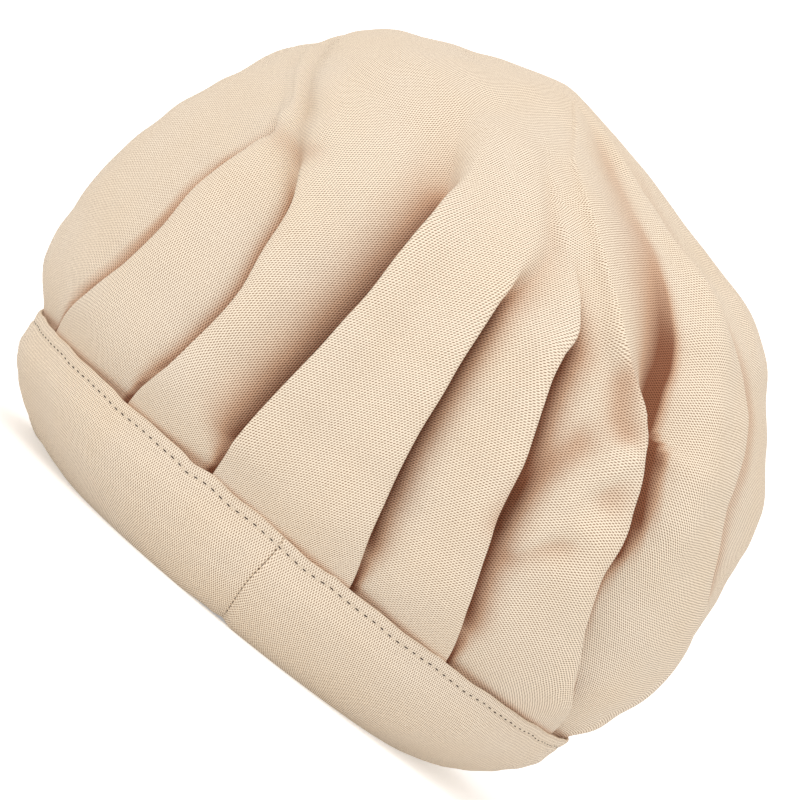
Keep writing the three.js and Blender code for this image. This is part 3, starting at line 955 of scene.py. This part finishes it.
def band_columns():
    """The angles of the band's columns, closer together round the joint."""
    even = np.linspace(-180, 180, BAND_COLUMNS - JOINT_COLUMNS, endpoint=False)
    even = even[np.abs(wrapped(even - JOINT_ANGLE)) > JOINT_SPAN + 0.2]
    close = JOINT_ANGLE + np.linspace(-JOINT_SPAN, JOINT_SPAN, BAND_COLUMNS - len(even))
    return np.sort(np.concatenate([even, close]))


def top_rows(degrees):
    """The layer turned in behind the strip, and the rolled top edge."""
    rows = [band_surface(drop / BAND_HEIGHT, degrees, -2 * EDGE_ROLL) for drop in TURNED_IN]
    for turn in np.radians(ROLL_TURNS):
        edge = band_surface(EDGE_ROLL / BAND_HEIGHT, degrees, EDGE_ROLL * (math.cos(turn) - 1))
        edge[:, 2] += EDGE_ROLL * math.sin(turn)
        rows.append(edge)
    return rows


def outer_rows(degrees):
    """The outer layer, with its rows close together at the strip and the stitches."""
    downs = np.concatenate([
        [EDGE_ROLL / BAND_HEIGHT],
        np.linspace(0.03, STRIP_SHARE - 0.03, 3),
        np.linspace(STRIP_SHARE - 0.02, STRIP_SHARE + 0.05, 8),
        np.linspace(0.17, 0.94, 24),
        [0.97, 0.985],
    ])
    return [band_surface(down, degrees) for down in downs]


def inner_rows(degrees):
    """The rim that the cap rests on, and the inner layer from there up."""
    curl, lift = rim_curl(degrees), bottom_rise(degrees)
    rows = [ring_points(curl + inward, lift * share + rise, degrees) for inward, share, rise in RIM_ROWS]
    for down in np.linspace(0.95, 0.03, 22):
        inner = band_surface(down, degrees, -LAYER_GAP - LOW_GAP * ramp(down, 0.5, 0.5))
        inner[:, 2] += INNER_LIFT * smooth(down * 1.1) - INNER_DROP
        rows.append(inner)
    return rows


def make_band(material):
    """One strip, turned in at its top edge and folded in half at the rim."""
    degrees = band_columns()
    points = np.array(top_rows(degrees) + outer_rows(degrees) + inner_rows(degrees))[::-1]
    legs = np.linalg.norm(np.diff(points, axis=0), axis=2).mean(1)
    down_cloth = np.concatenate([[0], np.cumsum(legs)])
    across = np.radians(degrees + 180) * SEAM.mean()
    clothmap = np.stack(np.broadcast_arrays(across[None, :], down_cloth[:, None]), axis=-1)
    faces = grid_faces(len(points), BAND_COLUMNS)
    band = mesh_object("band_cloth", points.reshape(-1, 3), faces, material, clothmap.reshape(-1, 2))
    thicken(band)
    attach(band, "root")
    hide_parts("band")


# Stitches


def capsules(middles, ways, outs, lengths, radius, flat=1.0):
    """Small rounded rods at the middles, along the ways, with their flat side turned to the outs."""
    sides, rings = 6, 5
    turn = np.linspace(0, 2 * np.pi, sides, endpoint=False)
    step = np.linspace(-1, 1, rings)
    girth = np.sqrt(np.maximum(0.12, 1 - np.abs(step) ** 4))
    points, faces = [], []
    for middle, way, out, length in zip(middles, ways, outs, lengths):
        side = np.cross(way, out)
        first = len(points)
        for s, g in zip(step, girth):
            centre = middle + way * (s * length / 2)
            for t in turn:
                points.append(centre + radius * g * (side * np.cos(t) + out * (flat * np.sin(t))))
        for ring in range(rings - 1):
            for k in range(sides):
                a, b = first + ring * sides + k, first + ring * sides + (k + 1) % sides
                faces.append([a, b, b + sides, a + sides])
        faces.append([first + k for k in reversed(range(sides))])
        faces.append([first + (rings - 1) * sides + k for k in range(sides)])
    return np.array(points), faces


def unit(vectors):
    return vectors / np.linalg.norm(vectors, axis=1, keepdims=True)


def band_frames(down, degrees):
    """Points on the band's outer surface, with the directions along, down and out of it."""
    here = band_surface(down, degrees)
    along_way = unit(band_surface(down, degrees + 0.1) - band_surface(down, degrees - 0.1))
    down_way = band_surface(down + 0.004, degrees) - band_surface(down - 0.004, degrees)
    down_way = unit(down_way - along_way * (along_way * down_way).sum(1, keepdims=True))
    return here, along_way, down_way, np.cross(along_way, -down_way)


def stitch_piece(name, points, faces, material):
    piece = mesh_object(name, points, faces, material)
    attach(piece, "root")


def make_topstitching(thread, shade):
    """Lockstitches under the strip: a thread from hole to hole, and a dark rod as painted shadow in the dip
    where it goes in.
    """
    rng = np.random.default_rng(SEED)
    count = int(2 * math.pi * SEAM.mean() / STITCH_PITCH)
    degrees = -180 + (np.arange(count) + 0.5) * 360 / count
    down = STRIP_SHARE + rng.normal(0, 0.0025, count)
    here, along_way, down_way, out = band_frames(down, degrees)
    tilt = rng.normal(0, 0.05, (count, 1)) + 0.06
    length = STITCH_GAP * rng.uniform(0.8, 1.15, count)
    # dark rods as painted shadow in the needle holes
    hole_shadows = capsules(here + out * 0.27, unit(along_way + down_way * tilt), out, length, 0.2, 0.6)
    stitch_piece("topstitch_hole_shadows", *hole_shadows, shade)
    here, along_way, down_way, out = band_frames(down, degrees + 180 / count)
    thread_length = np.full(count, STITCH_PITCH - STITCH_GAP * 0.75)
    threads = capsules(here + out * 0.24, along_way, out, thread_length, THREAD, 0.8)
    stitch_piece("topstitching", *threads, thread)


def make_joint_stitching(thread, shade):
    """Dark rods as painted shadow in the short dips of the joint's own seam, and a few frayed ends of thread
    at its top.
    """
    rng = np.random.default_rng(SEED + 2)
    low, high = STRIP_SHARE + 0.035, 0.93
    count = int((high - low) * BAND_HEIGHT * 1.05 / JOINT_PITCH)
    down = np.linspace(low, high, count)
    here, along_way, down_way, out = band_frames(down, joint_line(down))
    length = JOINT_GAP * rng.uniform(0.75, 1.15, count)
    # dark rods as painted shadow in the joint's needle holes
    hole_shadows = capsules(here + out * 0.29, down_way, out, length, 0.17, 0.6)
    stitch_piece("joint_hole_shadows", *hole_shadows, shade)
    down = rng.uniform(0.03, 0.14, LOOSE_ENDS)
    degrees = JOINT_ANGLE + rng.normal(0, 0.22, LOOSE_ENDS)
    here, along_way, down_way, out = band_frames(down, degrees)
    way = unit(down_way + along_way * rng.normal(0, 0.5, (LOOSE_ENDS, 1)))
    loose = capsules(here + out * 0.36, way, out, rng.uniform(0.7, 1.6, LOOSE_ENDS), 0.09)
    stitch_piece("joint_thread_ends", *loose, thread)


# Stage


def make_stage():
    """A wide white floor, whiter still to the camera."""
    material, nodes, links, shader = node_tree("stage_white")
    path = nodes.new("ShaderNodeLightPath")
    white = math_node(nodes, links, "MULTIPLY_ADD", path.outputs["Is Camera Ray"], 0.3, 0.6)
    links.new(white, shader.inputs["Base Color"])
    set_inputs(shader, {"Emission Strength": 0.35, "Emission Color": (1, 1, 1, 1)})
    set_inputs(shader, {"Roughness": 0.9, "Specular IOR Level": 0.0})
    far = 30000.0
    points = [(-far, -far, 0), (far, -far, 0), (far, far, 0), (-far, far, 0)]
    mesh_object("floor_stage", points, [[0, 1, 2, 3]], material)


def soft_sun(name, bearing, height, spread, strength):
    """A broad distant light, its bearing in degrees from the front towards the right."""
    data = bpy.data.lights.new(name, "SUN")
    data.angle = math.radians(spread)
    data.energy = strength
    lamp = bpy.data.objects.new(name, data)
    way, up = math.radians(bearing), math.radians(height)
    towards = Vector((math.sin(way) * math.cos(up), -math.cos(way) * math.cos(up), math.sin(up)))
    lamp.location = towards
    lamp.rotation_euler = towards.to_track_quat("Z", "Y").to_euler()
    bpy.context.scene.collection.objects.link(lamp)


def make_lights():
    """A slightly warm surround, white to the camera, and soft lights from the left, above and the right."""
    world = bpy.data.worlds.new("studio")
    world.use_nodes = True
    nodes, links = world.node_tree.nodes, world.node_tree.links
    surround = nodes["Background"]
    path = nodes.new("ShaderNodeLightPath")
    tint = nodes.new("ShaderNodeMix")
    tint.data_type = "RGBA"
    tint.inputs[6].default_value = (1, 0.97, 0.94, 1)
    tint.inputs[7].default_value = (1, 1, 1, 1)
    links.new(path.outputs["Is Camera Ray"], tint.inputs["Factor"])
    links.new(tint.outputs[2], surround.inputs["Color"])
    strength = math_node(nodes, links, "MULTIPLY_ADD", path.outputs["Is Camera Ray"], 0.25, 0.78)
    links.new(strength, surround.inputs["Strength"])
    bpy.context.scene.world = world
    soft_sun("key", -40, 40, 40, 0.9)
    soft_sun("top", 20, 80, 70, 0.35)
    soft_sun("fill", 65, 35, 80, 0.4)


# Camera


def make_camera():
    """The front from a little above the floor, rolled so that the cap leans right as in the photo."""
    elevation = math.radians(CAMERA_HEIGHT)
    aim = Vector((MIDDLE[0] - AIM_LEFT, MIDDLE[1], BAND_HEIGHT + AIM_RISE)) * MM
    data = bpy.data.cameras.new("photo_view")
    data.sensor_width = SENSOR
    data.lens = SENSOR * CAMERA_DISTANCE / PICTURE_WIDTH
    data.clip_end = 100
    camera = bpy.data.objects.new("photo_view", data)
    offset = Vector((0, -math.cos(elevation), math.sin(elevation))) * CAMERA_DISTANCE * MM
    camera.matrix_world = (
        Matrix.Translation(aim + offset)
        @ (-offset).to_track_quat("-Z", "Y").to_matrix().to_4x4()
        @ Matrix.Rotation(math.radians(CAMERA_ROLL), 4, "Z")
    )
    bpy.context.scene.collection.objects.link(camera)
    bpy.context.scene.camera = camera


def main():
    make_camera()
    make_crown(woven_cloth("crown_weave", GRAIN_ANGLE))
    make_band(woven_cloth("band_weave", 0))
    thread = plain_material("thread", THREAD_COLOUR, 0.7)
    # painted shadow for the stitch holes
    shade = plain_material("stitch_shade", STITCH_HOLE_SHADOW, 1.0)
    make_topstitching(thread, shade)
    make_joint_stitching(thread, shade)
    make_stage()
    make_lights()
    scene = bpy.context.scene
    scene.view_settings.view_transform = "Standard"


main()
